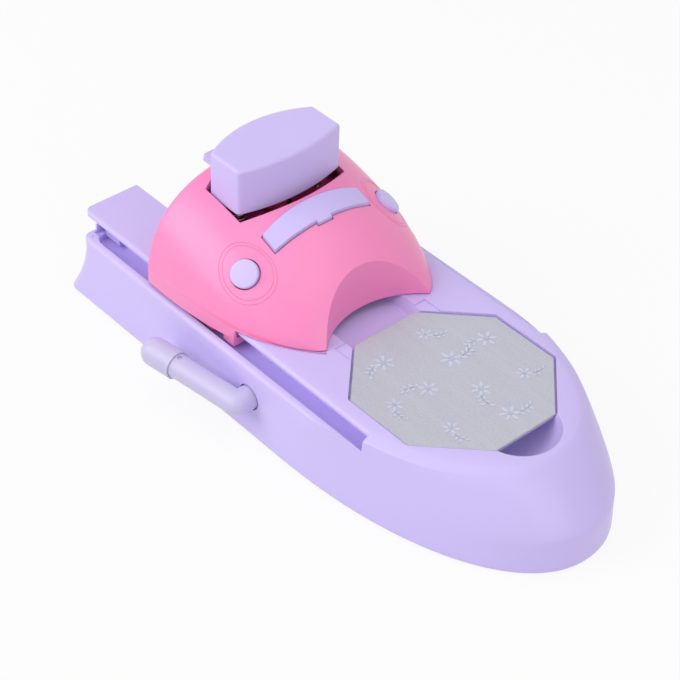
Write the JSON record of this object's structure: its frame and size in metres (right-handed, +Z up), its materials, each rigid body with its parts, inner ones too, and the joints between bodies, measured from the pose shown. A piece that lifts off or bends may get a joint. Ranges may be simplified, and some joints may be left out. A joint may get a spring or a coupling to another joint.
{
  "type": "manual nail stamping machine",
  "caption": "Hand-worked nail art stamping machine: boat-shaped base with finger trough and image plate, sliding domed carriage with stamp, scraper and lift lever.",
  "frame": {"origin": "on the flat underside of the base mat, straight below the centre of the image plate", "axes": "+X along the machine towards the rounded bow, +Y across it to the side away from the lever, +Z up"},
  "size_m": [0.1971, 0.0964, 0.0718],
  "materials": {
    "lavender": "satin",
    "pink": "satin",
    "lever_plastic": "slightly cloudy",
    "inner_plastic": "matte",
    "plate_steel": "fine matte",
    "screw_steel": "zinc plated",
    "spring_steel": "drawn wire",
    "bush_brass": "turned",
    "pad": "smooth silicone",
    "liner": "soft matte",
    "mat": "soft matte"
  },
  "bodies": {
    "base": {"base_shell": "lavender", "bottom_cover": "lavender", "base_mat": "mat", "cover_screws": "screw_steel", "travel_stops": "lavender", "image_plate": "plate_steel", "shaft_bush": "bush_brass", "rest_pin": "screw_steel"},
    "lever": {"cam_shaft": "screw_steel", "shaft_clip": "screw_steel", "lift_cam": "inner_plastic", "lever_arm": "lever_plastic", "lever_knob": "lever_plastic", "knob_pin": "lever_plastic"},
    "rest": {"rest_rocker": "inner_plastic", "finger_rest": "lavender", "rest_liner": "liner"},
    "carriage": {"carriage_cover": "pink", "carriage_frame": "inner_plastic", "glide_pads": "inner_plastic", "carriage_screws": "screw_steel", "stem_bushing": "bush_brass"},
    "stamp": {"button_cap": "lavender", "stamp_stem": "inner_plastic", "guide_pins": "screw_steel", "stamp_holder": "lavender", "stamp_pad": "pad", "return_spring_far": "spring_steel", "return_spring_near": "spring_steel"},
    "scraper": {"scraper_strip": "lavender", "scraper_legs": "inner_plastic", "scraper_clamp": "inner_plastic", "scraper_blade": "plate_steel", "scraper_spring_far": "spring_steel", "scraper_spring_near": "spring_steel"},
    "side_button_far_body": {"side_button_far": "lavender"},
    "side_button_near_body": {"side_button_near": "lavender"}
  },
  "joints": [
    {"name": "carriage_slide", "type": "slide", "parent": "base", "child": "carriage", "axis": [-1, 0, 0], "range_m": [-0.0585, 0.025]},
    {"name": "stamp_slide", "type": "slide", "parent": "carriage", "child": "stamp", "axis": [0, 0, -1], "range_m": [0, 0.008], "stiffness_N_per_m": 300, "springref_m": -0.002, "deforming": ["return_spring_far", "return_spring_near"]},
    {"name": "scraper_slide", "type": "slide", "parent": "carriage", "child": "scraper", "axis": [0, 0, -1], "range_m": [0, 0.003], "stiffness_N_per_m": 300, "springref_m": -0.002, "deforming": ["scraper_spring_far", "scraper_spring_near"]},
    {"name": "side_button_far_slide", "type": "slide", "parent": "carriage", "child": "side_button_far_body", "axis": [-0.3166, -0.6118, -0.7249], "range_m": [0, 0.0015], "stiffness_N_per_m": 200, "springref_m": -0.001},
    {"name": "side_button_near_slide", "type": "slide", "parent": "carriage", "child": "side_button_near_body", "axis": [-0.3166, 0.6118, -0.7249], "range_m": [0, 0.0015], "stiffness_N_per_m": 200, "springref_m": -0.001},
    {"name": "lever_turn", "type": "hinge", "parent": "base", "child": "lever", "pos_m": [-0.045, 0, 0.015], "axis": [0, 1, 0], "range_deg": [0, 80]},
    {"name": "rest_turn", "type": "hinge", "parent": "base", "child": "rest", "pos_m": [-0.118, 0, 0.01], "axis": [0, -1, 0], "range_deg": [0, 2.83]}
  ],
  "couplings": [
    {"joint": "rest_turn", "follows": "lever_turn", "ratio": 0.0353}
  ]
}
